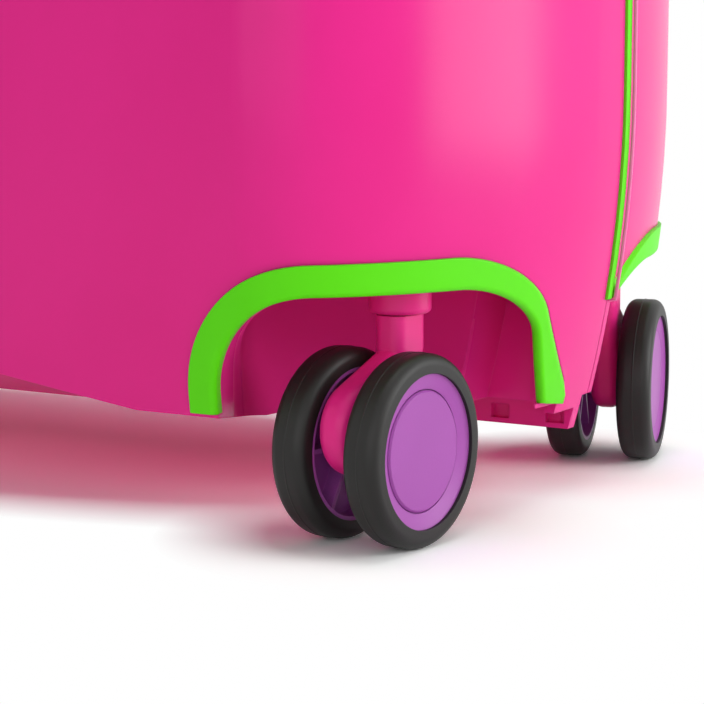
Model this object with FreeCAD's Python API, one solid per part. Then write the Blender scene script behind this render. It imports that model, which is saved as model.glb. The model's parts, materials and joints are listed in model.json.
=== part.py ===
# Ride on suitcase: a deep and a shallow moulded shell hinged along the keel, on four twin wheel casters.
# Millimetres, +Z up, origin on the floor under the middle of the case.
# +X is the front end. The left half lies on -Y and carries the seal, the right half lies on +Y.
import FreeCAD, Part
import math
import os

V = FreeCAD.Vector
ORIGIN = V(0, 0, 0)
UP = V(0, 0, 1)
ALONG = V(1, 0, 0)
ACROSS = V(0, 1, 0)

# Body, which from above is a straight run between two half ellipses
body_length = 440.6
body_half_width = 105.3
end_reach = 44.0
body_height = 290.0
waist_height = 110.0
flank_bow_radius = 340.0
flank_station_shares = (0.0, 0.25, 0.5, 0.75, 1.0)
shoulder_radius = 52.0
crown_radius = 260.0
saddle_dip = 14.0
saddle_reach = 122.0
saddle_station_shares = (-1.0, -0.7, -0.5, -0.25, 0.0, 0.25, 0.5, 0.7, 1.0)
wall = 3.0
seam_offset = 18.5
seam_gap = 0.3
seam_rim = 3.0

# Underside: a flat bottom with a bilge facet that rises to the sill of the flank
bottom_height = 27.0
bottom_half_width = 60.0
sill_height = 32.0
sill_crest_height = 44.0
sill_ramp_foot = 141.0
sill_ramp_head = 50.0

# Seal strip along the seam, from above the keel over the top and down again
seal_width = 3.3
seal_proud = 0.8
seal_end_height = 53.5

# Wheel arches and their trims, seen square to the arch axis
stem_end_inset = 25.3
stem_flank_inset = 45.8
arch_axis_turn = -71.0
arch_side_reach = 47.0
arch_end_reach = 30.8
arch_top = 70.3
arch_lean = 6.0
arch_side_radius = 32.0
arch_end_radius = 18.6
arch_set_back = 62.0
arch_depth = 20.0
trim_band = 7.4
trim_end_band = 1.9
trim_foot_band = 6.7
trim_end_share = 1.14
trim_proud = 1.2
trim_depth = 3.4
trim_foot_height = 33.0
trim_end_foot_height = 28.3
trim_end_foot_drop = 3.2
trim_backing = 3.0
trim_round = 1.5
edge_touch = 0.01
well_radius = 39.6
liner = 2.0

# Keel hinge
hinge_height = 21.0
hinge_pin_radius = 1.5
hinge_running_gap = 0.05
knuckle_radius = 3.2
knuckle_count = 15
knuckle_end_gap = 0.4
tie_height = 4.4
flange_inner = 3.8
flange_outer = 8.0
flange_drop = 3.1
hinge_end_inset = 4.0
window_count = 25
window_end_inset = 17.0
window_width = 5.6
window_height = 4.0
window_depth = 2.4
window_sill = 1.4
apron_height = 24.0
apron_reach = 20.5

# Twin wheel caster
wheel_radius = 24.0
wheel_trail = 10.0
wheel_plane = 10.6
tyre_width = 10.0
tyre_shoulder = 4.2
tyre_inner_radius = 19.1
hub_inner_setback = 0.1
hub_outer_setback = 0.9
hub_rim_wall = 1.0
hub_dish_depth = 1.2
hub_web = 1.6
hub_boss_radius = 5.0
rib_count = 6
rib_width = 1.2
rib_setback = 1.4
cap_radius = 14.9
cap_gap = 0.3
cap_thickness = 1.3
cap_dome = 0.5
axle_radius = 2.0
axle_running_gap = 0.05
axle_end_gap = 0.4
fork_thickness = 8.6
fork_disc_radius = 11.5
fork_disc_lead = 8.5
fork_disc_lift = 5.5
fork_boss_radius = 9.0
fork_neck_height = 47.0
fork_edge_round = 3.2
stem_length = 12.6
fork_hub_gap = 0.6
collar_radius = 7.8
collar_bottom = 56.0
collar_neck_radius = 5.0
collar_neck_stand = 2.6
collar_edge_round = 1.5
collar_seat_gap = 0.05
swivel_pin_radius = 2.5
swivel_pin_head_radius = 4.6
swivel_pin_head = 2.0
swivel_gap = 0.3
swivel_running_gap = 0.05
swivel_pin_foot_height = 45.0
front_left_turn = -3.7
front_right_turn = 195.9
rear_left_turn = 9.0
rear_right_turn = 172.0

# Draw latches on the two ends: stands are out from the end face, runs are along it from the seam
latch_height = 205.0
latch_width = 22.0
latch_pivot_stand = 5.2
latch_pivot_run = 24.0
latch_barrel_radius = 3.1
latch_pin_radius = 1.4
latch_pin_gap = 0.05
lever_stand = 3.5
lever_thickness = 3.4
lever_tip_thickness = 4.8
lever_tip_run = 17.6
lever_end_run = 22.8
lip_stand = 1.3
lip_start_run = 15.4
lip_end_run = 18.4
ear_gap = 0.4
ear_thickness = 3.0
ear_half_width = 2.9
base_plate = 1.7
base_start_run = 31.2
base_end_run = 11.0
keeper_plate = 1.0
keeper_start_run = 4.0
keeper_end_run = 20.2
ridge_stand = 2.9
ridge_start_run = 8.4
ridge_end_run = 14.0

# Tow eyes on the left half, where a strap clips on
eye_end_inset = 4.0
eye_drop = 5.0
eye_thickness = 7.0
eye_radius = 11.0
eye_bore_radius = 6.0
eye_foot_length = 18.0
eye_foot_drop = 40.0

# Loop grips on the front shoulders, one on each half
grip_end_inset = 108.3
grip_lean = 22.0
grip_loop_radius = 29.0
grip_tube_radius = 8.5
grip_leg_height = 20.0
grip_sink = 12.0
grip_foot_radius = 13.0
grip_foot = 4.0
bolt_radius = 3.0
bolt_head_radius = 6.0
bolt_head = 3.5
bolt_reach = 18.0
bolt_seat_gap = 0.05

overrun = 40.0

half_length = body_length / 2
half_span = half_length - end_reach
far_width = body_half_width + overrun
keel_bottom = hinge_height - flange_drop
crown_offset = math.sqrt((crown_radius - shoulder_radius) ** 2 - (body_half_width - shoulder_radius) ** 2)
shoulder_turn = math.degrees(math.atan2(crown_offset, body_half_width - shoulder_radius))
shoulder_height = body_height - crown_radius + crown_offset
well_ceiling = arch_top - trim_band
stem_x = half_length - stem_end_inset
stem_y = body_half_width - stem_flank_inset
grip_x = half_length - grip_end_inset


def draw_in(height, inset):
    """How far the skin lies inside the waist's outline, at a height below the waist."""
    drop = waist_height - height
    return flank_bow_radius - math.sqrt((flank_bow_radius - inset) ** 2 - drop ** 2)


def polar(centre, radius, turn):
    """Point in a plane of (across, up) pairs."""
    angle = math.radians(turn)
    return centre[0] + radius * math.cos(angle), centre[1] + radius * math.sin(angle)


def section_point(x, pair):
    """Point of a cross section of the left half."""
    return V(x, -pair[0], pair[1])


def wire_through(x, steps):
    """Wire of lines and arcs: each step is an end point or a middle and an end point."""
    edges = []
    start = steps[0][-1]
    for step in steps[1:]:
        a = section_point(x, start)
        b = section_point(x, step[-1])
        if len(step) == 1:
            edges.append(Part.makeLine(a, b))
        else:
            edges.append(Part.Arc(a, section_point(x, step[0]), b).toShape())
        start = step[-1]
    return Part.Wire(edges)


def half_outline(height, inset):
    """Outline of the left half from above, at a height below the waist."""
    depth = draw_in(height, inset)
    corners = []
    tips = []
    arcs = []
    for side in (-1, 1):
        centre = V(side * half_span, 0, height)
        corner = centre - ACROSS * (body_half_width - depth)
        tip = centre + ALONG * side * (end_reach - depth)
        arcs.append(Part.ArcOfEllipse(Part.Ellipse(corner, tip, centre), 0, math.pi / 2).toShape())
        corners.append(corner)
        tips.append(tip)
    return Part.Wire([Part.makeLine(*corners), arcs[1], Part.makeLine(tips[1], tips[0]), arcs[0]])


def lower_half(inset):
    """Left half below the waist, drawn in by the inset."""
    rise = waist_height - keel_bottom
    outlines = [half_outline(keel_bottom + rise * share, inset) for share in flank_station_shares]
    return Part.makeLoft(outlines, True, False)


def upper_section(x, inset, dip):
    shoulder = (body_half_width - shoulder_radius, shoulder_height - dip)
    crown = (0, body_height - crown_radius - dip)
    bend = shoulder_radius - inset
    top = crown_radius - inset
    steps = [[(0, waist_height)],
             [(body_half_width - inset, waist_height)],
             [(body_half_width - inset, shoulder[1])],
             [polar(shoulder, bend, shoulder_turn / 2), polar(shoulder, bend, shoulder_turn)],
             [polar(crown, top, (shoulder_turn + 90) / 2), (0, crown[1] + top)],
             [(0, waist_height)]]
    return wire_through(x, steps)


def saddle_depth(x):
    share = min(abs(x) / saddle_reach, 1)
    return saddle_dip * math.cos(share * math.pi / 2) ** 2


def underside(inset):
    """What is cut away below the left half, raised by the inset."""
    stations = [(-half_length - overrun, sill_height), (-sill_ramp_foot, sill_height),
                (-sill_ramp_head, sill_crest_height), (sill_ramp_head, sill_crest_height),
                (sill_ramp_foot, sill_height), (half_length + overrun, sill_height)]
    flank = body_half_width - draw_in(sill_height, 0)
    wires = []
    for x, sill in stations:
        rise = (sill - bottom_height) / (flank - bottom_half_width)
        edge = bottom_height + rise * (far_width - bottom_half_width)
        outline = [V(x, overrun, -overrun), V(x, overrun, bottom_height),
                   V(x, -bottom_half_width, bottom_height),
                   V(x, -far_width, edge), V(x, -far_width, -overrun)]
        outline = [p + UP * inset for p in outline]
        wires.append(Part.makePolygon(outline + outline[:1]))
    return Part.makeLoft(wires, True, True)


def upper_end(side, inset):
    """A quarter of a domed end: the cross section turned about an upright axis, then drawn in along X."""
    section = Part.Face(upper_section(side * half_span, inset, 0))
    quarter = section.revolve(V(side * half_span, 0, 0), UP, side * 90)
    share = (end_reach - inset) / (body_half_width - inset)
    draw = FreeCAD.Matrix()
    draw.A11 = share
    draw.A14 = side * half_span * (1 - share)
    return quarter.transformGeometry(draw)


def half_body(inset):
    """Solid left half of the body, drawn in by the inset."""
    places = [half_span * share for share in saddle_station_shares]
    saddle = Part.makeLoft([upper_section(x, inset, saddle_depth(x)) for x in places], True, False)
    body = lower_half(inset).fuse([saddle, upper_end(-1, inset), upper_end(1, inset)])
    return body.cut(underside(inset))


def rounded_outline(corners, radii):
    """Closed wire through the corners, with an arc of the given radius at each."""
    count = len(corners)
    edges = []
    arcs = []
    for i in range(count):
        corner = corners[i]
        back = (corners[i - 1] - corner).normalize()
        ahead = (corners[(i + 1) % count] - corner).normalize()
        half = back.getAngle(ahead) / 2
        reach = radii[i] / math.tan(half)
        middle = corner + (back + ahead).normalize() * (radii[i] / math.sin(half) - radii[i])
        arcs.append((corner + back * reach, middle, corner + ahead * reach))
    for i in range(count):
        start, middle, end = arcs[i]
        if radii[i] > 0:
            edges.append(Part.Arc(start, middle, end).toShape())
        edges.append(Part.makeLine(end, arcs[(i + 1) % count][0]))
    return Part.Wire(edges)


arch_out = V(math.cos(math.radians(arch_axis_turn)), math.sin(math.radians(arch_axis_turn)), 0)
arch_side = V(-arch_out.y, arch_out.x, 0)
front_stem = V(stem_x, -stem_y, 0)


def arch_bar(corners, radii):
    """Outline in pairs of side and height, drawn out along the arch axis from behind the stem."""
    start = front_stem - arch_out * arch_set_back
    points = [start + arch_side * v + UP * z for v, z in corners]
    return Part.Face(rounded_outline(points, radii)).extrude(arch_out * (arch_set_back + overrun))


def arch_prism(inset, end_inset, foot_inset):
    """The front left arch opening, drawn in from the trim's outer edge, with own insets on the end leg."""
    lean = math.tan(math.radians(arch_lean))
    low = -overrun
    widen = (foot_inset - end_inset) / (arch_top - trim_end_foot_height)
    crest = inset * trim_end_share
    pairs = [(-arch_side_reach + inset, low), (-arch_side_reach + inset, arch_top - inset),
             (arch_end_reach - end_inset + (lean - widen) * crest, arch_top - crest),
             (arch_end_reach - end_inset + (lean - widen) * (arch_top - low), low)]
    return arch_bar(pairs, [0, arch_side_radius - inset, arch_end_radius - (inset + end_inset) / 2, 0])


def front_well(extra, foot_band):
    """Space that the front left caster turns in and the arch that it looks out of, grown for its walls."""
    bowl = Part.makeCylinder(well_radius + extra, well_ceiling + extra + overrun, front_stem - UP * overrun)
    bowl = bowl.common(lower_half(trim_depth + trim_backing - extra))
    arch = arch_prism(trim_band - extra, trim_end_band - extra, foot_band - extra)
    return bowl.fuse(arch.cut(lower_half(arch_depth + extra)))


def mirrored(shape, axis):
    return shape.mirror(ORIGIN, axis)


def both_ends(shape):
    return [shape, mirrored(shape, ALONG)]


def clear_of(plane, shape):
    """The part of a left half's shape that lies beyond a plane along the case."""
    return shape.common(slab(-far_width, -plane, -overrun, body_height))


def slab(y_low, y_high, z_low, z_high):
    length = body_length + overrun * 2
    return Part.makeBox(length, y_high - y_low, z_high - z_low, V(-length / 2, y_low, z_low))


node_shapes = {}

# Arch trims: bands of lime rubber let into the edge of each wheel arch, cut short by the seam on the right
trim_layer = lower_half(-trim_proud).cut(lower_half(trim_depth))
foot_line = [(-far_width, waist_height), (-far_width, trim_foot_height), (0, trim_foot_height),
             (0, trim_end_foot_height), (arch_end_reach, trim_end_foot_height),
             (arch_end_reach + trim_band, trim_end_foot_height - trim_end_foot_drop),
             (far_width, trim_end_foot_height), (far_width, waist_height)]
trim_bar = trim_layer.common(arch_prism(0, 0, 0)).common(arch_bar(foot_line, [0] * len(foot_line)))
left_opening = arch_prism(trim_band, trim_end_band, trim_foot_band)
right_opening = arch_prism(trim_band, trim_end_band, trim_end_band)
left_band = clear_of(seam_gap, trim_bar.cut(left_opening))
right_band = clear_of(seam_offset + seam_rim, trim_bar.cut(right_opening))
left_bands = both_ends(left_band)
right_bands = both_ends(right_band)


def rounded_band(band, opening):
    """A trim's band, rounded where its outer face turns into the arch."""
    skin = lower_half(-trim_proud).Shells[0]
    rim = opening.Shells[0]
    edges = []
    for edge in band.Edges:
        middle = Part.Vertex(edge.valueAt((edge.FirstParameter + edge.LastParameter) / 2))
        if max(middle.distToShape(skin)[0], middle.distToShape(rim)[0]) < edge_touch:
            edges.append(edge)
    return band.makeFillet(trim_round, edges)


left_trims = both_ends(rounded_band(left_band, left_opening))
right_trims = both_ends(rounded_band(right_band, right_opening))
for end_name, left, right in zip(("front", "rear"), left_trims, right_trims):
    node_shapes["arch_trim_" + end_name + "_left"] = left
    node_shapes["arch_trim_" + end_name + "_right"] = mirrored(right, ACROSS)

# Half shells, hollow, with a lined well at each corner
outer_half = half_body(0)
inner_half = half_body(wall)
trim_frame = arch_prism(-trim_backing, -trim_backing, -trim_backing)
trim_frame = trim_frame.cut(lower_half(trim_depth + trim_backing))
neck_bore = Part.makeCylinder(collar_neck_radius + collar_seat_gap, overrun, front_stem + UP * collar_bottom)


def open_half(plane, bands, foot_band):
    """Left half of the body with wells and arches that keep clear of a plane along the case."""
    lined = clear_of(plane + seam_rim - liner, front_well(liner, foot_band))
    hollow = inner_half.cut(both_ends(lined) + both_ends(clear_of(plane + seam_gap, trim_frame)))
    well = clear_of(plane + seam_rim, front_well(0, foot_band))
    return outer_half.cut([hollow] + both_ends(well) + bands + both_ends(neck_bore))


right_side = mirrored(open_half(seam_offset, right_bands, trim_end_band), ACROSS)
seam_strip = slab(0, seam_offset - seam_gap / 2, -overrun, body_height + overrun)
left_plain = open_half(0, left_bands, trim_foot_band).fuse(right_side.common(seam_strip)).removeSplitter()
right_plain = right_side.common(slab(seam_offset + seam_gap / 2, far_width, -overrun, body_height + overrun))

# Keel flange with blind windows, hinge knuckles on a steel pin
hinge_half_length = half_length - draw_in(hinge_height, 0) - hinge_end_inset
knuckle_pitch = hinge_half_length * 2 / knuckle_count
flange_top = bottom_height + wall / 2
hinge_line = V(-hinge_half_length, seam_offset, hinge_height)
keel_run = mirrored(lower_half(0), ACROSS)


def flange(side):
    """Keel flange on one side of the seam, with blind windows in its outer face."""
    low, high = sorted((seam_offset + side * flange_inner, seam_offset + side * flange_outer))
    strip = slab(low, high, keel_bottom, flange_top).common(keel_run)
    window_low = keel_bottom + window_sill
    face = seam_offset + side * (flange_outer - window_depth)
    windows = []
    window_span = half_length - window_end_inset
    for i in range(window_count):
        middle = window_span * (2 * i / (window_count - 1) - 1)
        corner = V(middle - window_width / 2, 0, window_low)
        cutter = Part.makeBox(window_width, overrun, window_height, corner)
        cutter.translate(ACROSS * (face if side > 0 else face - overrun))
        windows.append(cutter)
    return strip.cut(windows)


def knuckle(index, side):
    """One hinge knuckle, with the web that ties it to the flange on one side of the seam."""
    start = hinge_line + ALONG * (knuckle_pitch * index + knuckle_end_gap / 2)
    length = knuckle_pitch - knuckle_end_gap
    barrel = Part.makeCylinder(knuckle_radius, length, start, ALONG)
    reach = (flange_inner + flange_outer) / 2
    tie = Part.makeBox(length, reach, tie_height, start - UP * (tie_height / 2))
    if side < 0:
        tie.translate(-ACROSS * reach)
    return barrel.fuse(tie)


pin_bore = Part.makeCylinder(hinge_pin_radius + hinge_running_gap, hinge_half_length * 2, hinge_line, ALONG)
left_keel = [flange(-1)] + [knuckle(i, -1) for i in range(0, knuckle_count, 2)]
apron = slab(seam_offset - apron_reach, seam_offset - flange_inner, apron_height, flange_top)
end_wall = keel_run.fuse(lower_half(0)).cut([mirrored(lower_half(wall), ACROSS), lower_half(wall)])
left_keel.append(apron.common(end_wall).cut(left_bands))
right_keel = [flange(1)] + [knuckle(i, 1) for i in range(1, knuckle_count, 2)]
swing_room = Part.makeCylinder(well_radius, well_ceiling, front_stem)
swing_room = swing_room.fuse(Part.makeBox(stem_end_inset, stem_y, well_ceiling, front_stem))
right_keel[0] = right_keel[0].cut([mirrored(s, ACROSS) for s in both_ends(swing_room)])
node_shapes["hinge_pin"] = Part.makeCylinder(hinge_pin_radius, hinge_half_length * 2, hinge_line, ALONG)

# Seal strip in the rim of the left half
seal_half = seal_width / 2
seal_top = body_height + overrun
seal_ring = mirrored(half_body(-seal_proud).cut(inner_half), ACROSS)
seal_room = slab(seam_offset - seal_half, seam_offset + seal_half, seal_end_height, seal_top)
lid_room = slab(0, seam_offset + seal_half + seam_gap, seal_end_height - seam_gap, seal_top)
node_shapes["seam_seal"] = seal_ring.common(seal_room)

# Loop grips: a bent round bar on two feet, each foot held by a bolt from inside
grip_turn = 90 - grip_lean
grip_dip = saddle_depth(grip_x)
shoulder_pair = (body_half_width - shoulder_radius, shoulder_height - grip_dip)
grip_seat_pair = polar(shoulder_pair, shoulder_radius, grip_turn)
grip_seat = section_point(grip_x, grip_seat_pair)
grip_sides = (-grip_loop_radius, grip_loop_radius)


def stand_on_shoulder(shape):
    """Place a shape made about +Z on the left front shoulder, leaning out with it."""
    shape.rotate(ORIGIN, ALONG, grip_lean)
    shape.translate(grip_seat)
    return shape


def grip_columns(radius, low, high):
    """Upright cylinders at both feet of the loop, on the shoulder."""
    columns = [Part.makeCylinder(radius, high - low, V(x, 0, low)) for x in grip_sides]
    return [stand_on_shoulder(c) for c in columns]


loop_end = Part.Wire(Part.makeCircle(grip_tube_radius, V(grip_loop_radius, 0, grip_leg_height), UP))
loop = Part.Face(loop_end).revolve(UP * grip_leg_height, ACROSS, -180)
grip = stand_on_shoulder(loop).fuse(grip_columns(grip_tube_radius, -grip_sink, grip_leg_height))
grip = grip.fuse(grip_columns(grip_foot_radius, -grip_sink, grip_foot)).removeSplitter()
grip = grip.cut([outer_half] + grip_columns(bolt_radius, -grip_sink - overrun, bolt_reach))
bolt_bores = grip_columns(bolt_radius + bolt_seat_gap, -grip_sink - overrun, bolt_reach)
left_plain = left_plain.cut(bolt_bores)
right_plain = right_plain.cut([mirrored(b, ACROSS) for b in bolt_bores])
node_shapes["grip_left"] = grip
node_shapes["grip_right"] = mirrored(grip, ACROSS)
bolt_low = -wall - bolt_head
bolts = grip_columns(bolt_radius, bolt_low, bolt_reach)
bolt_heads = grip_columns(bolt_head_radius, bolt_low - bolt_head, bolt_low)
bolts = [shank.fuse(head).cut(left_plain) for shank, head in zip(bolts, bolt_heads)]
node_shapes["grip_bolts_left"] = Part.makeCompound(bolts)
node_shapes["grip_bolts_right"] = mirrored(node_shapes["grip_bolts_left"], ACROSS)

# Finished shells
node_shapes["shell_left"] = left_plain.cut(seal_room).fuse(left_keel).cut(pin_bore)
node_shapes["shell_right"] = right_plain.cut(lid_room).fuse(right_keel).cut(pin_bore)
whole_body = [outer_half, mirrored(outer_half, ACROSS)]


# Tow eyes on the middle of the top, lugs with a round hole
def tow_eye():
    tip = V(half_length - eye_end_inset, -eye_thickness / 2, body_height - eye_drop)
    root = tip - ALONG * eye_foot_length - UP * eye_foot_drop
    slope = (tip - root).normalize()
    square = V(-slope.z, 0, slope.x) * eye_radius
    foot = [tip + square, tip - square, root - square, root + square]
    web = Part.Face(Part.makePolygon(foot + foot[:1])).extrude(ACROSS * eye_thickness)
    ring = Part.makeCylinder(eye_radius, eye_thickness, tip, ACROSS)
    bore = Part.makeCylinder(eye_bore_radius, eye_thickness, tip, ACROSS)
    return ring.fuse(web).removeSplitter().cut(whole_body + [bore])


node_shapes["tow_eye_front"] = tow_eye()
node_shapes["tow_eye_rear"] = mirrored(node_shapes["tow_eye_front"], ALONG)

# Draw latches: a base and pin on the left half, a lever over the seam, a keeper on the right half
# Close to the seam the end face is an arc, whose radius is that of the ellipse at its tip
end_arc_radius = body_half_width ** 2 / end_reach
end_arc_x = half_length - end_arc_radius


def turn_at(run):
    """Turn about the axis of the end arc, at a run along the end face from the seam."""
    return math.degrees(math.asin(seam_offset / end_arc_radius) + run / end_arc_radius)


def end_sector(stand_low, stand_high, run_low, run_high, half_height):
    """Piece of a ring in front of the front end face."""
    foot = V(end_arc_x, 0, latch_height - half_height)
    sweep = turn_at(run_high) - turn_at(run_low)
    ring = Part.makeCylinder(end_arc_radius + stand_high, half_height * 2, foot, UP, sweep)
    core = Part.makeCylinder(end_arc_radius + stand_low, half_height * 2, foot, UP)
    ring.rotate(foot, UP, turn_at(run_low))
    return ring.cut(core)


pivot_pair = polar((end_arc_x, 0), end_arc_radius + latch_pivot_stand, turn_at(-latch_pivot_run))
latch_pivot = V(pivot_pair[0], pivot_pair[1], latch_height)
lever_half = latch_width / 2
ear_inner = lever_half + ear_gap
ear_outer = ear_inner + ear_thickness


def pivot_drum(radius, half_height):
    return Part.makeCylinder(radius, half_height * 2, latch_pivot - UP * half_height)


lever_top = lever_stand + lever_thickness
lever = end_sector(lever_stand, lever_top, -latch_pivot_run, lever_end_run, lever_half)
tip_top = lever_stand + lever_tip_thickness
lever = lever.fuse([pivot_drum(latch_barrel_radius, lever_half),
                    end_sector(lever_stand, tip_top, lever_tip_run, lever_end_run, lever_half),
                    end_sector(lip_stand, lever_top, lip_start_run, lip_end_run, lever_half)])
lever = lever.cut(pivot_drum(latch_pin_radius + latch_pin_gap, lever_half))
ear_start_run = -latch_pivot_run - ear_half_width
ear_end_run = -latch_pivot_run + ear_half_width
ears = end_sector(-base_plate, latch_pivot_stand, ear_start_run, ear_end_run, ear_outer)
ears = ears.fuse(pivot_drum(latch_barrel_radius, ear_outer))
ears = ears.cut(pivot_drum(latch_barrel_radius + ear_gap, ear_inner))
ears = ears.cut(end_sector(0, latch_pivot_stand + overrun, -base_start_run, -base_end_run, ear_inner))
latch_base = end_sector(-base_plate, base_plate, -base_start_run, -base_end_run, ear_outer).fuse(ears)
latch_base = latch_base.cut(whole_body + [pivot_drum(latch_pin_radius, ear_outer)])
keeper = end_sector(-keeper_plate, keeper_plate, keeper_start_run, keeper_end_run, lever_half)
keeper = keeper.fuse(end_sector(0, ridge_stand, ridge_start_run, ridge_end_run, lever_half)).cut(whole_body)
node_shapes["latch_lever_front"] = lever
node_shapes["latch_lever_rear"] = mirrored(lever, ALONG)
node_shapes["latch_bases"] = Part.makeCompound(both_ends(latch_base))
node_shapes["latch_pins"] = Part.makeCompound(both_ends(pivot_drum(latch_pin_radius, ear_outer)))
node_shapes["latch_keepers"] = Part.makeCompound(both_ends(keeper))


# Casters, each made about its own swivel axis with the axle along X and the wheels trailing to -Y
def about_axle(points):
    """Solid of revolution about the axle line from (radius, along the axle) pairs."""
    wire = Part.makePolygon([V(a, r, 0) for r, a in points + points[:1]])
    shape = Part.Face(wire).revolve(ORIGIN, ALONG, 360)
    shape.translate(V(0, -wheel_trail, wheel_radius))
    return shape


tyre_start = wheel_plane - tyre_width / 2
tyre_end = wheel_plane + tyre_width / 2
hub_start = tyre_start + hub_inner_setback
hub_end = tyre_end - hub_outer_setback
cap_seat = hub_end - hub_dish_depth - cap_thickness + cap_dome
web_start = cap_seat - hub_web
dish_radius = cap_radius + cap_gap
rim_inner_radius = tyre_inner_radius - hub_rim_wall


def tyre_shape():
    bead = wheel_radius - tyre_shoulder
    blank = about_axle([(tyre_inner_radius, tyre_start), (wheel_radius, tyre_start),
                        (wheel_radius, tyre_end), (tyre_inner_radius, tyre_end)])
    rims = [e for e in blank.Edges if abs(e.Length - 2 * math.pi * wheel_radius) < bead]
    return blank.makeFillet(tyre_shoulder, rims)


def hub_shape():
    bore = axle_radius + axle_running_gap
    boss_start = fork_thickness / 2 + fork_hub_gap
    disc = about_axle([(bore, boss_start), (hub_boss_radius, boss_start), (hub_boss_radius, web_start),
                       (rim_inner_radius, web_start), (rim_inner_radius, hub_start),
                       (tyre_inner_radius, hub_start),
                       (tyre_inner_radius, hub_end), (dish_radius, hub_end - hub_dish_depth),
                       (dish_radius, cap_seat), (bore, cap_seat)])
    rib_inner = hub_boss_radius - hub_rim_wall / 2
    rib_outer = rim_inner_radius + hub_rim_wall / 2
    barrel = about_axle([(rib_inner, hub_start), (rib_outer, hub_start),
                         (rib_outer, cap_seat), (rib_inner, cap_seat)])
    ribs = []
    for i in range(rib_count):
        rib = Part.makeBox(cap_seat - hub_start - rib_setback, rib_width, rib_outer + hub_rim_wall)
        rib.translate(V(hub_start + rib_setback, -rib_width / 2, 0))
        rib.rotate(ORIGIN, ALONG, 360 / rib_count * (i + 0.5))
        rib.translate(V(0, -wheel_trail, wheel_radius))
        ribs.append(rib.common(barrel))
    return disc.fuse(ribs).removeSplitter()


def cap_shape():
    """Flat disc with a shallow crown that closes the outer side of a hub."""
    edge = cap_seat + cap_thickness - cap_dome
    return about_axle([(0, cap_seat), (cap_radius, cap_seat), (cap_radius, edge),
                       (cap_radius - cap_dome, edge + cap_dome), (0, edge + cap_dome)])


def fork_shape():
    """Cheek between the wheels: a flat stem that widens forward and back to the axle, with rounded edges."""
    side = -fork_thickness / 2
    stem_half = stem_length / 2
    stem_top = collar_bottom - swivel_gap
    rounds = [(V(side, -stem_half, fork_neck_height), 0),
              (V(side, -wheel_trail - fork_disc_lead, wheel_radius + fork_disc_lift), fork_disc_radius),
              (V(side, -wheel_trail, wheel_radius), fork_boss_radius),
              (V(side, stem_half, fork_neck_height), 0)]
    touches = [V(side, -stem_half, stem_top), rounds[0][0]]
    edges = [Part.makeLine(*touches)]
    for (near, near_radius), (far, far_radius) in zip(rounds, rounds[1:]):
        away = far - near
        turn = math.asin((near_radius - far_radius) / away.Length)
        out = FreeCAD.Rotation(ALONG, math.degrees(turn) - 90).multVec(away).normalize()
        start = near + out * near_radius
        if near_radius > 0:
            bend = (touches[-1] + start) / 2 - near
            edges.append(Part.Arc(touches[-1], near + bend.normalize() * near_radius, start).toShape())
        touches.append(far + out * far_radius)
        edges.append(Part.makeLine(start, touches[-1]))
    touches.append(V(side, stem_half, stem_top))
    edges.append(Part.makeLine(touches[-2], touches[-1]))
    edges.append(Part.makeLine(touches[-1], touches[0]))
    cheek = Part.Face(Part.Wire(edges)).extrude(ALONG * fork_thickness)
    faces = [e for e in cheek.Edges if e.BoundBox.XLength < swivel_running_gap]
    rims = [e for e in faces if e.BoundBox.ZMin < stem_top - swivel_gap]
    cheek = cheek.makeFillet(fork_edge_round, rims)
    axle_start = V(-fork_thickness, -wheel_trail, wheel_radius)
    axle_hole = Part.makeCylinder(axle_radius, fork_thickness * 2, axle_start, ALONG)
    pin_hole = Part.makeCylinder(swivel_pin_radius, stem_top, UP * swivel_pin_foot_height)
    return cheek.cut([axle_hole, pin_hole])


collar_top = well_ceiling + liner + collar_neck_stand


def collar_shape():
    """Swivel bush: collar under the well and neck through its ceiling."""
    body = Part.makeCylinder(collar_radius, well_ceiling - collar_bottom, UP * collar_bottom)
    lower_rim = [e for e in body.Edges if abs(e.BoundBox.ZMax - collar_bottom) < swivel_running_gap]
    body = body.makeFillet(collar_edge_round, lower_rim)
    neck = Part.makeCylinder(collar_neck_radius, collar_top - collar_bottom, UP * collar_bottom)
    bore = Part.makeCylinder(swivel_pin_radius + swivel_running_gap, collar_top)
    return body.fuse(neck).cut(bore)


def swivel_pin_shape():
    shank = Part.makeCylinder(swivel_pin_radius, collar_top + swivel_gap - swivel_pin_foot_height,
                              UP * swivel_pin_foot_height)
    head = Part.makeCylinder(swivel_pin_head_radius, swivel_pin_head, UP * (collar_top + swivel_gap))
    return shank.fuse(head)


def axle_shape():
    half = cap_seat - axle_end_gap
    return Part.makeCylinder(axle_radius, half * 2, V(-half, -wheel_trail, wheel_radius), ALONG)


def turned_over(shape):
    """The same wheel piece on the other side of the fork."""
    return mirrored(shape, ALONG)


tyre = tyre_shape()
hub = hub_shape()
cap = cap_shape()
caster_pieces = {"fork": fork_shape(), "swivel_pin": swivel_pin_shape(), "axle": axle_shape(),
                 "tyre_a": tyre, "hub_a": hub, "hub_cap_a": cap,
                 "tyre_b": turned_over(tyre), "hub_b": turned_over(hub), "hub_cap_b": turned_over(cap)}
collars = {"left": [], "right": []}
swivel_turns = {"front_left": front_left_turn, "front_right": front_right_turn,
                "rear_left": rear_left_turn, "rear_right": rear_right_turn}
for corner, turn in swivel_turns.items():
    end_name, side_name = corner.split("_")
    place = V(stem_x if end_name == "front" else -stem_x, stem_y if side_name == "right" else -stem_y, 0)
    for piece, shape in caster_pieces.items():
        placed = shape.copy()
        placed.rotate(ORIGIN, UP, turn)
        placed.translate(place)
        node_shapes[piece + "_" + corner] = placed
    collar = collar_shape()
    collar.translate(place)
    collars[side_name].append(collar)
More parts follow.
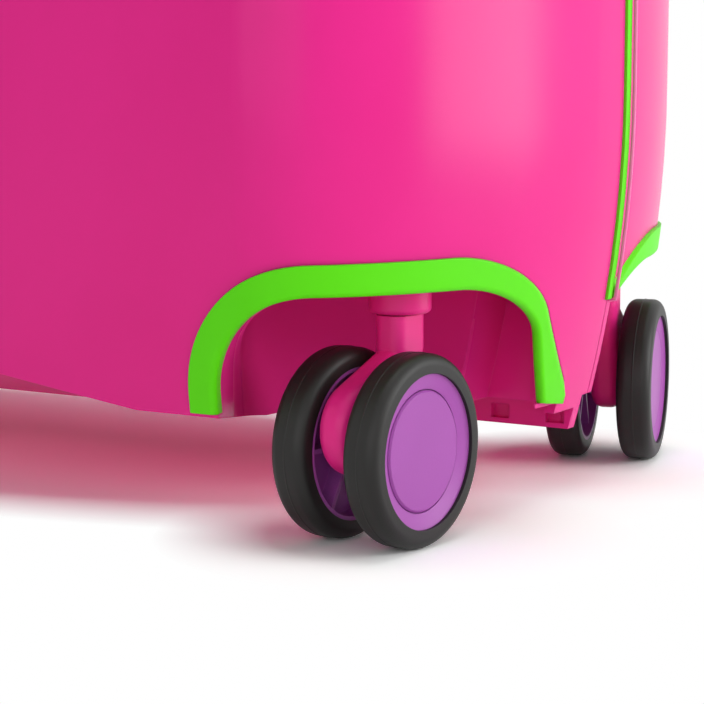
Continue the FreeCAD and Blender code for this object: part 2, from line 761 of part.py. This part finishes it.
for side_name, pair in collars.items():
    node_shapes["swivel_collars_" + side_name] = Part.makeCompound(pair)

os.makedirs("parts", exist_ok=True)
for name, shape in node_shapes.items():
    shape.exportStep("parts/" + name + ".step")
    print(name, "solids", len(shape.Solids), "valid", shape.isValid(), "volume", round(shape.Volume, 1))
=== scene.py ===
import json
import math

import bpy
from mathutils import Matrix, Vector


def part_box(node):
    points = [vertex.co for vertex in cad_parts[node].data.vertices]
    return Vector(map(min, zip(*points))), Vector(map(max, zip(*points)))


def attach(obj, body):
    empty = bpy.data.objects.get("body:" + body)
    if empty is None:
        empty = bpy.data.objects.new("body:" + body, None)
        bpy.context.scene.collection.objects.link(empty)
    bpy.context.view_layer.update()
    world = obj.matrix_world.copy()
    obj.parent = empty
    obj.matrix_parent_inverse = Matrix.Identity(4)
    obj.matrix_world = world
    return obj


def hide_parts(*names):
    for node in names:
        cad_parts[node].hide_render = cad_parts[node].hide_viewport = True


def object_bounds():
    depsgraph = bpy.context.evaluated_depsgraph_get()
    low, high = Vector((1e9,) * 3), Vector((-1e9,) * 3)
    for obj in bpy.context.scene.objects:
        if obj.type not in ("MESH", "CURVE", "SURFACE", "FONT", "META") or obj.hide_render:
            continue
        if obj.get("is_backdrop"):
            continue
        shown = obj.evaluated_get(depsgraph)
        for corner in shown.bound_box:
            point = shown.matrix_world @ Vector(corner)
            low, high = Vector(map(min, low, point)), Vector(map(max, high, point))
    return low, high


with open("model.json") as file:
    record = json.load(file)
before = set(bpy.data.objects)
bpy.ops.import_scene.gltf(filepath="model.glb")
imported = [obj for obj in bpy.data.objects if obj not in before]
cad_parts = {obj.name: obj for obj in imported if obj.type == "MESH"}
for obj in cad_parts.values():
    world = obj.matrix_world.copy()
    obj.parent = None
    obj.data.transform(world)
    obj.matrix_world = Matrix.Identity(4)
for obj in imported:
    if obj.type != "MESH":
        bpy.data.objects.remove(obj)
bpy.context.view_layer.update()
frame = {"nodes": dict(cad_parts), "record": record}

# Half shells: a deep left and a shallow right half, injection moulded from glossy bright pink
# plastic about 3 mm thick. The mould leaves a fine grain, and cooling leaves slow swells in the
# walls. The wells round the caster stems keep a coarser texture and shine less than the skin.
shell_colour = (0.860, 0.022, 0.285, 1)
shell_shade = (0.820, 0.019, 0.262, 1)
shell_rubbed = (0.900, 0.070, 0.340, 1)
pigment_scale = 14
patch_scale = 55
swell_scale = 22
swell_height = 0.0002
wear_begins = 0.99
wear_full = 0.80
wear_share = 0.35
caster_stem = (0.1950, 0.0595, 0)
well_edge = 0.0405
well_edge_blend = 0.001
well_facing_begins = -0.002
well_facing_full = -0.012
well_rough = 0.75


def new_material(name):
    """A material, its node tree and its surface shader."""
    made = bpy.data.materials.new(name)
    made.use_nodes = True
    tree = made.node_tree
    return made, tree, tree.nodes["Principled BSDF"]


def noise(tree, place, scale, detail):
    """Noise over the object's own coordinates, which are metres in the case's frame."""
    node = tree.nodes.new("ShaderNodeTexNoise")
    node.inputs["Scale"].default_value = scale
    node.inputs["Detail"].default_value = detail
    tree.links.new(place.outputs["Object"], node.inputs["Vector"])
    return node.outputs["Fac"]


def two_tones(tree, value, low, low_tone, high, high_tone):
    """Colour that goes from one tone to another as a value rises."""
    ramp = tree.nodes.new("ShaderNodeValToRGB")
    ramp.color_ramp.elements[0].position = low
    ramp.color_ramp.elements[0].color = low_tone
    ramp.color_ramp.elements[1].position = high
    ramp.color_ramp.elements[1].color = high_tone
    tree.links.new(value, ramp.inputs["Fac"])
    return ramp.outputs["Color"]


def spread(tree, value, from_low, from_high, low, high):
    """A value moved from one span to another."""
    node = tree.nodes.new("ShaderNodeMapRange")
    node.inputs["From Min"].default_value = from_low
    node.inputs["From Max"].default_value = from_high
    node.inputs["To Min"].default_value = low
    node.inputs["To Max"].default_value = high
    tree.links.new(value, node.inputs["Value"])
    return node.outputs["Result"]


def product(tree, first, second):
    """Two values multiplied."""
    node = tree.nodes.new("ShaderNodeMath")
    node.operation = "MULTIPLY"
    tree.links.new(first, node.inputs[0])
    tree.links.new(second, node.inputs[1])
    return node.outputs["Value"]


def vector_math(tree, operation, first, second=(0, 0, 0)):
    """A step of vector arithmetic, with a fixed vector or another node's output as the second value."""
    node = tree.nodes.new("ShaderNodeVectorMath")
    node.operation = operation
    tree.links.new(first, node.inputs[0])
    if isinstance(second, tuple):
        node.inputs[1].default_value = second
    else:
        tree.links.new(second, node.inputs[1])
    return node.outputs["Value" if operation in ("DOT_PRODUCT", "LENGTH", "DISTANCE") else "Vector"]


def relief(tree, height, normal, strength, distance):
    """A bump of that height in metres, laid over another normal."""
    node = tree.nodes.new("ShaderNodeBump")
    node.inputs["Strength"].default_value = strength
    node.inputs["Distance"].default_value = distance
    tree.links.new(height, node.inputs["Height"])
    tree.links.new(normal, node.inputs["Normal"])
    return node.outputs["Normal"]


def moulded(name, colour, shade, rubbed, rough, shine, grain_scale, grain_height, edge_round):
    """Moulded plastic or rubber: cloudy pigment, rounded and rubbed edges, grain over slow swells."""
    made, tree, skin = new_material(name)
    place = tree.nodes.new("ShaderNodeTexCoord")
    edge = tree.nodes.new("ShaderNodeBevel")
    edge.samples = 4
    edge.inputs["Radius"].default_value = edge_round
    face = tree.nodes.new("ShaderNodeNewGeometry")
    turn = vector_math(tree, "DOT_PRODUCT", edge.outputs["Normal"], face.outputs["Normal"])
    tint = tree.nodes.new("ShaderNodeMix")
    tint.data_type = "RGBA"
    tree.links.new(spread(tree, turn, wear_begins, wear_full, 0, wear_share), tint.inputs["Factor"])
    cloud = noise(tree, place, pigment_scale, 4)
    tree.links.new(two_tones(tree, cloud, 0.30, shade, 0.62, colour), tint.inputs["A"])
    tint.inputs["B"].default_value = rubbed
    tree.links.new(tint.outputs["Result"], skin.inputs["Base Color"])
    patches = noise(tree, place, patch_scale, 6)
    tree.links.new(spread(tree, patches, 0, 1, rough * 0.9, rough * 1.15), skin.inputs["Roughness"])
    swell = relief(tree, noise(tree, place, swell_scale, 1), edge.outputs["Normal"], 0.5, swell_height)
    grain = relief(tree, noise(tree, place, grain_scale, 2), swell, 0.4, grain_height)
    tree.links.new(grain, skin.inputs["Normal"])
    skin.inputs["Specular IOR Level"].default_value = shine
    return made


def coarsen_wells(material):
    """Roughen the walls that face a caster stem, within the reach of its well."""
    tree = material.node_tree
    skin = tree.nodes["Principled BSDF"]
    place = tree.nodes.new("ShaderNodeTexCoord")
    face = tree.nodes.new("ShaderNodeNewGeometry")
    level = vector_math(tree, "MULTIPLY", place.outputs["Object"], (1, 1, 0))
    from_stem = vector_math(tree, "SUBTRACT", vector_math(tree, "ABSOLUTE", level), caster_stem)
    folded = vector_math(tree, "MULTIPLY", face.outputs["Normal"], vector_math(tree, "SIGN", level))
    facing = spread(tree, vector_math(tree, "DOT_PRODUCT", folded, from_stem),
                    well_facing_begins, well_facing_full, 0, 1)
    near = spread(tree, vector_math(tree, "LENGTH", from_stem), well_edge, well_edge + well_edge_blend, 1, 0)
    coarse = tree.nodes.new("ShaderNodeMix")
    tree.links.new(product(tree, facing, near), coarse.inputs["Factor"])
    tree.links.new(skin.inputs["Roughness"].links[0].from_socket, coarse.inputs["A"])
    coarse.inputs["B"].default_value = well_rough
    tree.links.new(coarse.outputs["Result"], skin.inputs["Roughness"])


def finish(node, material):
    """Give a part of the frame its finish."""
    mesh = frame["nodes"][node].data
    mesh.materials.clear()
    mesh.materials.append(material)


shell_pink = moulded("glossy_pink_shell", shell_colour, shell_shade, shell_rubbed, rough=0.23, shine=0.15,
                     grain_scale=1500, grain_height=0.00003, edge_round=0.0006)
coarsen_wells(shell_pink)
finish("shell_left", shell_pink)
finish("shell_right", shell_pink)

# Hinge pin: one long steel wire pushed through the knuckles under the belly.
# Drawn steel, bright, with fine marks along it and a little dulling from handling.
steel_colour = (0.62, 0.62, 0.63, 1)
steel_shade = (0.45, 0.45, 0.47, 1)
steel_mark_scale = 900
steel_mark_depth = 0.00003
steel, tree, skin = new_material("drawn_steel")
place = tree.nodes.new("ShaderNodeTexCoord")
face = tree.nodes.new("ShaderNodeNewGeometry")
marks = noise(tree, place, steel_mark_scale, 6)
tree.links.new(two_tones(tree, marks, 0.2, steel_shade, 0.7, steel_colour), skin.inputs["Base Color"])
tree.links.new(spread(tree, marks, 0, 1, 0.28, 0.45), skin.inputs["Roughness"])
tree.links.new(relief(tree, marks, face.outputs["Normal"], 0.3, steel_mark_depth), skin.inputs["Normal"])
skin.inputs["Metallic"].default_value = 1
finish("hinge_pin", steel)

# Seal strip: a lime rubber lip around the rim of the left half, from one end to the other.
# It is extruded, pressed into a groove in the rim, and stands a little proud of the shell.
lime_colour = (0.120, 0.820, 0.005, 1)
lime_shade = (0.105, 0.760, 0.004, 1)
lime_rubbed = (0.200, 0.860, 0.030, 1)
seal_lime = moulded("seal_lime_rubber", lime_colour, lime_shade, lime_rubbed, rough=0.45, shine=0.25,
                    grain_scale=1100, grain_height=0.00004, edge_round=0.0004)
finish("seam_seal", seal_lime)

# Rim of the right half: a thin raised bead that the seal strip closes against.
# It is moulded with the half shell; its paler pink is a painted highlight, the line of light its edge catches
# beside the strip.
rim_highlight_colour = (0.880, 0.200, 0.450, 1)
rim_highlight_shade = (0.850, 0.160, 0.410, 1)
rim_highlight_rubbed = (0.900, 0.300, 0.520, 1)
bead_radius = 0.00055
bead_sides = 8
seal_stand = 0.0008
seal_edge_slack = 0.00002
middle_height = 0.15
across = Vector((0, 1, 0))
# Painted highlight: the rim's pale pink stands in for the light caught along its edge.
rim_painted_highlight = moulded("painted_highlight_rim", rim_highlight_colour, rim_highlight_shade, rim_highlight_rubbed, rough=0.35, shine=0.30,
                   grain_scale=1500, grain_height=0.00002, edge_round=0.0001)


def smooth_faces(mesh, sharp_degrees):
    """Smooth shading, broken at edges that turn by more than an angle."""
    for polygon in mesh.polygons:
        polygon.use_smooth = True
    mesh.set_sharp_from_angle(angle=math.radians(sharp_degrees))


def new_piece(name, points, faces, sharp_degrees, material):
    """A mesh piece with its finish, put into the scene."""
    mesh = bpy.data.meshes.new(name)
    mesh.from_pydata(points, [], faces)
    smooth_faces(mesh, sharp_degrees)
    mesh.materials.append(material)
    made = bpy.data.objects.new(name, mesh)
    bpy.context.scene.collection.objects.link(made)
    return made


def seal_outline():
    """Outer edge of the seal strip on the right half's side, from the front foot over the top to the rear."""
    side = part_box("seam_seal")[1][1]
    edge = {}
    for vertex in frame["nodes"]["seam_seal"].data.vertices:
        out = Vector((vertex.co.x, 0, vertex.co.z - middle_height))
        on_side = abs(vertex.co.y - side) < seal_edge_slack and abs(vertex.normal.y) < 0.5
        if on_side and vertex.normal.dot(out) > 0:
            turn = math.atan2(out.z, out.x)
            if turn < -math.pi / 2:
                turn += 2 * math.pi
            edge[round(turn, 4)] = vertex.co.copy()
    return [edge[turn] for turn in sorted(edge)]


def heading(path, index):
    """Run of a path past one of its points."""
    return path[min(index + 1, len(path) - 1)] - path[max(index - 1, 0)]


def swept_bead(name, path, radius, sides, material):
    """A round bar along a path that lies across the case."""
    points = []
    for index, place in enumerate(path):
        out = across.cross(heading(path, index)).normalized()
        for step in range(sides):
            turn = 2 * math.pi * step / sides
            points.append(place + out * radius * math.cos(turn) + across * radius * math.sin(turn))
    faces = [tuple(range(sides)), tuple(range(len(points) - sides, len(points)))[::-1]]
    for index in range(len(path) - 1):
        for step in range(sides):
            first = index * sides + step
            second = index * sides + (step + 1) % sides
            faces.append((first, second, second + sides, first + sides))
    return new_piece(name, points, faces, 60, material)


outline = seal_outline()
rim_path = []
for index, place in enumerate(outline):
    outward = heading(outline, index).cross(across).normalized()
    rim_path.append(place - outward * seal_stand + across * bead_radius)
rim_bead = swept_bead("rim_bead", rim_path, bead_radius, bead_sides, rim_painted_highlight)
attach(rim_bead, "right_half")

# Arch trims: four bands of soft lime rubber around the wheel arches.
# Each is moulded to the curve of the corner with rounded edges and glued into a step of the shell; its edges are
# rubbed a little paler.
trim_lime = moulded("arch_lime_rubber", lime_colour, lime_shade, lime_rubbed, rough=0.42, shine=0.15,
                    grain_scale=1000, grain_height=0.00005, edge_round=0.0008)
corners = ("front_left", "front_right", "rear_left", "rear_right")
for corner in corners:
    finish("arch_trim_" + corner, trim_lime)

# Casters: a collar in the roof of each well, a steel pin, and a fork that turns on it.
# Collar and fork are satin pink plastic; pin and axle are steel, pressed in from the side.
caster_colour = (0.880, 0.023, 0.265, 1)
caster_shade = (0.830, 0.019, 0.238, 1)
caster_pink = moulded("satin_pink_caster", caster_colour, caster_shade, shell_rubbed, rough=0.36, shine=0.25,
                      grain_scale=1300, grain_height=0.00004, edge_round=0.0005)
for side in ("left", "right"):
    finish("swivel_collars_" + side, caster_pink)
for corner in corners:
    finish("fork_" + corner, caster_pink)
    finish("swivel_pin_" + corner, steel)
    finish("axle_" + corner, steel)

# Wheel hubs and caps: violet plastic, two wheels to a caster.
# The hub has a sloped ring outside and thin ribs inside; a flat cap snaps into the ring.
hub_colour = (0.410, 0.092, 0.440, 1)
hub_shade = (0.370, 0.078, 0.395, 1)
hub_rubbed = (0.600, 0.280, 0.640, 1)
hub_violet = moulded("violet_hub", hub_colour, hub_shade, hub_rubbed, rough=0.38, shine=0.25,
                     grain_scale=1300, grain_height=0.00004, edge_round=0.0003)
wheels = [wheel + "_" + corner for corner in corners for wheel in ("a", "b")]
for wheel in wheels:
    finish("hub_" + wheel, hub_violet)
    finish("hub_cap_" + wheel, hub_violet)

# Tyres: rings of black rubber stretched over the hubs, with full round shoulders.
# The mould parts in the middle of the tread and leaves a fine raised line around it.
tyre_colour = (0.016, 0.0155, 0.0145, 1)
tyre_shade = (0.011, 0.0105, 0.010, 1)
tyre_rubbed = (0.035, 0.033, 0.031, 1)
tyre_radius = 0.0240
tyre_bead_radius = 0.0191
tyre_half_width = 0.0050
tyre_shoulder = 0.0028
parting_height = 0.00010
parting_half_width = 0.00020
shoulder_steps = 10
tread_steps = 120
tyre_black = moulded("tyre_black_rubber", tyre_colour, tyre_shade, tyre_rubbed, rough=0.44, shine=0.28,
                     grain_scale=1900, grain_height=0.00006, edge_round=0.0003)


def tyre_profile(steps):
    """Section of a tyre in pairs of radius and distance from the wheel's middle, side to side."""
    tread = tyre_radius - parting_height
    half = [(tyre_bead_radius, tyre_half_width)]
    for step in range(steps + 1):
        turn = math.pi / 2 * step / steps
        half.append((tread - tyre_shoulder + tyre_shoulder * math.sin(turn),
                     tyre_half_width - tyre_shoulder + tyre_shoulder * math.cos(turn)))
    half.append((tread, parting_half_width))
    half.append((tyre_radius, parting_half_width / 2))
    return half + [(radius, -along) for radius, along in reversed(half)]


def turned_ring(name, profile, centre, axle, steps, sharp_degrees, material):
    """A closed ring, turned from a section around an axle."""
    side = axle.orthogonal().normalized()
    up = axle.cross(side)
    points = []
    for step in range(steps):
        turn = 2 * math.pi * step / steps
        spoke = side * math.cos(turn) + up * math.sin(turn)
        points += [centre + spoke * radius + axle * along for radius, along in profile]
    faces = []
    for step in range(steps):
        here = step * len(profile)
        there = (step + 1) % steps * len(profile)
        for index in range(len(profile)):
            follow = (index + 1) % len(profile)
            faces.append((here + index, there + index, there + follow, here + follow))
    return new_piece(name, points, faces, sharp_degrees, material)


axles = {joint["name"]: Vector(joint["axis"]).normalized() for joint in frame["record"]["behaviour"]["joints"]}
for wheel in wheels:
    low, high = (Vector(point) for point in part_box("tyre_" + wheel))
    tyre = turned_ring("tyre_ring_" + wheel, tyre_profile(shoulder_steps), (low + high) / 2, axles["spin_" + wheel],
                       tread_steps, 30, tyre_black)
    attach(tyre, "wheel_" + wheel)
    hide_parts("tyre_" + wheel)

# Loop grips: a violet plastic handle on each side of the saddle, for a child to hold.
# Each is moulded in one piece and bolted on from inside the shell with steel bolts.
grip_violet = moulded("violet_grip", hub_colour, hub_shade, hub_rubbed, rough=0.44, shine=0.25,
                      grain_scale=700, grain_height=0.00010, edge_round=0.0006)
for side in ("left", "right"):
    finish("grip_" + side, grip_violet)
    finish("grip_bolts_" + side, steel)

# Tow eyes: violet plastic loops on the ends of the left half, where a strap clips on.
# They are moulded smooth, and their edges are rubbed pale by the clip.
eye_violet = moulded("violet_tow_eye", hub_colour, hub_shade, hub_rubbed, rough=0.36, shine=0.25,
                     grain_scale=1300, grain_height=0.00004, edge_round=0.0006)
for end in ("front", "rear"):
    finish("tow_eye_" + end, eye_violet)

# Draw latches: a lime lever on a pinned base that hooks over a keeper on the right half.
# Levers, bases and keepers are hard satin plastic; the pins are steel.
latch_lime = moulded("latch_lime_plastic", lime_colour, lime_shade, lime_rubbed, rough=0.34, shine=0.30,
                     grain_scale=1400, grain_height=0.00003, edge_round=0.0006)
for node in ("latch_lever_front", "latch_lever_rear", "latch_bases", "latch_keepers"):
    finish(node, latch_lime)
finish("latch_pins", steel)

# Studio: a pale floor that runs into a white distance, under soft light.
# The floor keeps its shadow under the case and round its casters. Beyond an ellipse round the case and circles
# round the casters, camera and mirror rays see a white glow instead: painted light that covers the outer part of
# the shadow, so the floor is plain white away from them.
floor_reach = 6.0
floor_tone = 0.90
floor_seen_tone = 1.30
# Ellipse and caster circles within which the real shadow is kept; past them the painted white glow covers it.
shadow_length = 0.22
shadow_width = 0.095
painted_white_begins = 0.80
painted_white_full = 1.10
caster_painted_white_begins = 0.033
caster_painted_white_full = 0.062
floor_mesh = bpy.data.meshes.new("studio_floor")
floor_mesh.from_pydata([(-floor_reach, -floor_reach, 0), (floor_reach, -floor_reach, 0),
                        (floor_reach, floor_reach, 0), (-floor_reach, floor_reach, 0)], [], [(0, 1, 2, 3)])
floor = bpy.data.objects.new("studio_floor", floor_mesh)
bpy.context.scene.collection.objects.link(floor)
floor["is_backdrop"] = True


def seen_directly(tree):
    """1 for a ray from the camera, a mirror or clear plastic, and 0 for a ray that only carries light."""
    path = tree.nodes.new("ShaderNodeLightPath")
    seen = path.outputs["Is Camera Ray"]
    for ray in ("Is Glossy Ray", "Is Transmission Ray"):
        larger = tree.nodes.new("ShaderNodeMath")
        larger.operation = "MAXIMUM"
        tree.links.new(seen, larger.inputs[0])
        tree.links.new(path.outputs[ray], larger.inputs[1])
        seen = larger.outputs["Value"]
    return seen


floor_white, tree, skin = new_material("studio_floor_white")
tree.nodes.remove(skin)
paper = tree.nodes.new("ShaderNodeBsdfDiffuse")
seen = seen_directly(tree)
tree.links.new(spread(tree, seen, 0, 1, floor_tone, floor_seen_tone), paper.inputs["Color"])
place = tree.nodes.new("ShaderNodeTexCoord").outputs["Object"]
case_reach = vector_math(tree, "LENGTH", vector_math(tree, "DIVIDE", place, (shadow_length, shadow_width, 1)))
caster_reach = vector_math(tree, "DISTANCE", vector_math(tree, "ABSOLUTE", place), caster_stem)
# Painted light: share of the white glow. It is none inside the ellipse and the caster circles, and full beyond
# them, where it paints over the shadow.
painted_white_share = product(tree, spread(tree, case_reach, painted_white_begins, painted_white_full, 0, 1),
               spread(tree, caster_reach, caster_painted_white_begins, caster_painted_white_full, 0, 1))
glow = tree.nodes.new("ShaderNodeEmission")
blend = tree.nodes.new("ShaderNodeMixShader")
tree.links.new(product(tree, painted_white_share, seen), blend.inputs["Fac"])
tree.links.new(paper.outputs["BSDF"], blend.inputs[1])
tree.links.new(glow.outputs["Emission"], blend.inputs[2])
tree.links.new(blend.outputs["Shader"], tree.nodes["Material Output"].inputs["Surface"])
floor_mesh.materials.append(floor_white)

horizon_light = 0.11
zenith_light = 0.45
world = bpy.data.worlds.new("studio_white")
bpy.context.scene.world = world
world.use_nodes = True
tree = world.node_tree
room = tree.nodes["Background"]
room.inputs["Color"].default_value = (1, 1, 1, 1)
height = tree.nodes.new("ShaderNodeSeparateXYZ")
tree.links.new(tree.nodes.new("ShaderNodeTexCoord").outputs["Generated"], height.inputs["Vector"])
tree.links.new(spread(tree, height.outputs["Z"], 0, 1, horizon_light, zenith_light), room.inputs["Strength"])
white = tree.nodes.new("ShaderNodeBackground")
white.inputs["Color"].default_value = (1, 1, 1, 1)
blend = tree.nodes.new("ShaderNodeMixShader")
tree.links.new(seen_directly(tree), blend.inputs["Fac"])
tree.links.new(room.outputs["Background"], blend.inputs[1])
tree.links.new(white.outputs["Background"], blend.inputs[2])
tree.links.new(blend.outputs["Shader"], tree.nodes["World Output"].inputs["Surface"])


def softbox(name, place, aim, width, height, power):
    """A soft rectangular lamp that the camera doesn't see."""
    lamp = bpy.data.lights.new(name, "AREA")
    lamp.shape = "RECTANGLE"
    lamp.size = width
    lamp.size_y = height
    lamp.energy = power
    made = bpy.data.objects.new(name, lamp)
    bpy.context.scene.collection.objects.link(made)
    made.location = place
    made.rotation_euler = (Vector(aim) - Vector(place)).to_track_quat("-Z", "Y").to_euler()
    made.visible_camera = False
    return made


case_middle = (0, 0, 0.15)
front_end = (0.2, 0, 0.15)
softbox("front_softbox", (0.60, -1.70, 0.55), case_middle, width=2.4, height=1.0, power=9.3)
softbox("right_softbox", (1.58, 0.10, 0.85), case_middle, width=0.9, height=0.9, power=4.6)
softbox("end_softbox", (0.86, 0.38, 0.225), front_end, width=0.44, height=0.42, power=3.1)
softbox("top_softbox", (0.0, 0.1, 1.9), case_middle, width=1.5, height=1.0, power=14.5)
bounce = softbox("belly_bounce", (0, 0, 0.019), (0, 0, 0), width=0.36, height=0.10, power=0.013)
bounce.data.color = (1.0, 0.045, 0.27)
bounce.visible_glossy = False

# Camera: low, at the front left corner, looking a little down on the caster.
camera_place = (0.4597, -0.5109, 0.1146)
camera_dip = 7.4514
camera_turn = 31.69
camera_data = bpy.data.cameras.new("corner_camera")
camera_data.sensor_width = 36
camera_data.lens = 108.74
camera_data.clip_start = 0.02
camera = bpy.data.objects.new("corner_camera", camera_data)
bpy.context.scene.collection.objects.link(camera)
camera.location = camera_place
camera.rotation_euler = (math.radians(90 - camera_dip), 0, math.radians(camera_turn))
bpy.context.scene.camera = camera
bpy.context.scene.view_settings.view_transform = "Standard"

low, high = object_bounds()
